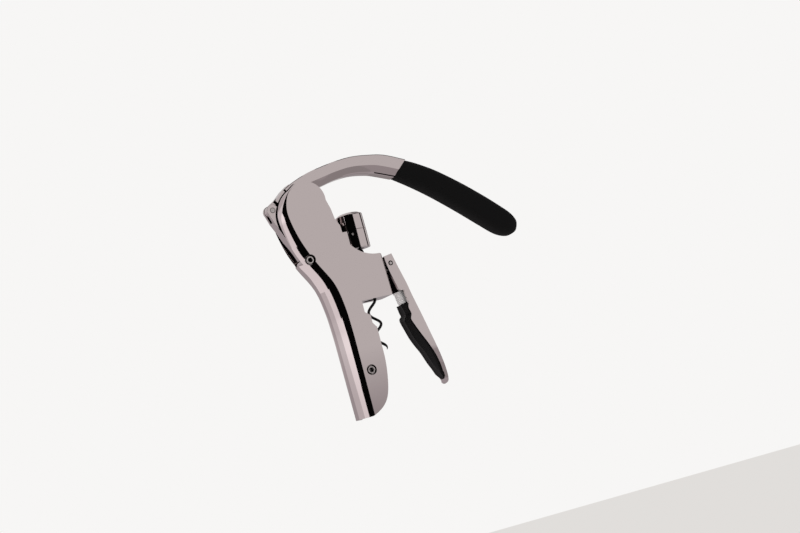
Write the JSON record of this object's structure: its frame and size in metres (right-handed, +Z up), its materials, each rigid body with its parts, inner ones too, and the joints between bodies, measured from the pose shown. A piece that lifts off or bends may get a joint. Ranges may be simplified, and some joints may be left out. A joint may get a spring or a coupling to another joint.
{
  "type": "vertical lever corkscrew",
  "caption": "Lever corkscrew with a hollow upright body, a long dark grip, a spinning worm in a sliding carriage and a sprung clamp that closes on the bottle neck",
  "frame": {"origin": "on the worm axis, which is also the axis of the neck cradle, at the underside of the collar where the bottle mouth stops", "axes": "+Z up along the worm axis away from the bottle, +X forward to the clamp and the grip, +Y to the far side; the object is symmetric across the plane Y = 0"},
  "size_m": [0.2171, 0.026, 0.2098],
  "materials": {
    "bright_casting": "polished plated die casting",
    "steel": "plain machined steel",
    "bronze": "plain bearing bronze",
    "black_plastic": "moulded black plastic",
    "black_pad": "matt black soft pad",
    "grip_black": "satin black moulded grip",
    "coated_black": "slick black coating on steel wire"
  },
  "bodies": {
    "body": {"body_casting": "bright_casting", "worm_guide": "black_plastic", "guide_ring": "steel", "neck_pad": "black_pad", "neck_pad_screw": "steel", "neck_pad_nut": "steel", "clamp_hinge_pin": "steel", "fulcrum_bolt": "steel", "fulcrum_nut": "steel", "fulcrum_sleeve": "bronze"},
    "link": {"fulcrum_link": "bright_casting", "tail_pin": "steel"},
    "lever": {"lever_casting": "bright_casting", "lever_grip": "grip_black", "crosshead_pin": "steel", "crosshead_clips": "steel"},
    "carriage": {"carriage_casting": "bright_casting", "head_cap": "bright_casting", "head_lock_screw": "steel", "guide_pin": "steel", "thrust_washers": "bronze"},
    "spindle": {"worm_spindle": "steel", "worm": "coated_black"},
    "clamp": {"clamp_casting": "bright_casting", "clamp_jaw": "bright_casting", "clamp_pad": "black_pad", "clamp_spring": "steel"}
  },
  "joints": [
    {"name": "link_swing", "type": "hinge", "parent": "body", "child": "link", "pos_m": [-0.0467, 0, 0.041], "axis": [0, -1, 0], "range_deg": [0, 7.2]},
    {"name": "lever_swing", "type": "hinge", "parent": "link", "child": "lever", "pos_m": [-0.0648, 0, 0.087], "axis": [0, -1, 0], "range_deg": [0, 68]},
    {"name": "carriage_slide", "type": "slide", "parent": "body", "child": "carriage", "axis": [0, 0, 1], "range_m": [0, 0.0457]},
    {"name": "worm_spin", "type": "hinge", "parent": "carriage", "child": "spindle", "pos_m": [0, 0, 0.05], "axis": [0, 0, 1], "range_deg": [0, 822]},
    {"name": "clamp_squeeze", "type": "hinge", "parent": "body", "child": "clamp", "pos_m": [0.02155, 0, 0.0254], "axis": [0, 1, 0], "range_deg": [0, 11], "stiffness_Nm_per_rad": 0.5, "deforming": ["clamp_spring"]}
  ],
  "couplings": [
    {"joint": "link_swing", "follows": "lever_swing", "ratio": 0.1},
    {"joint": "carriage_slide", "follows": "lever_swing", "m_per_rad": 0.03842},
    {"joint": "worm_spin", "follows": "lever_swing", "ratio": 12.07}
  ]
}
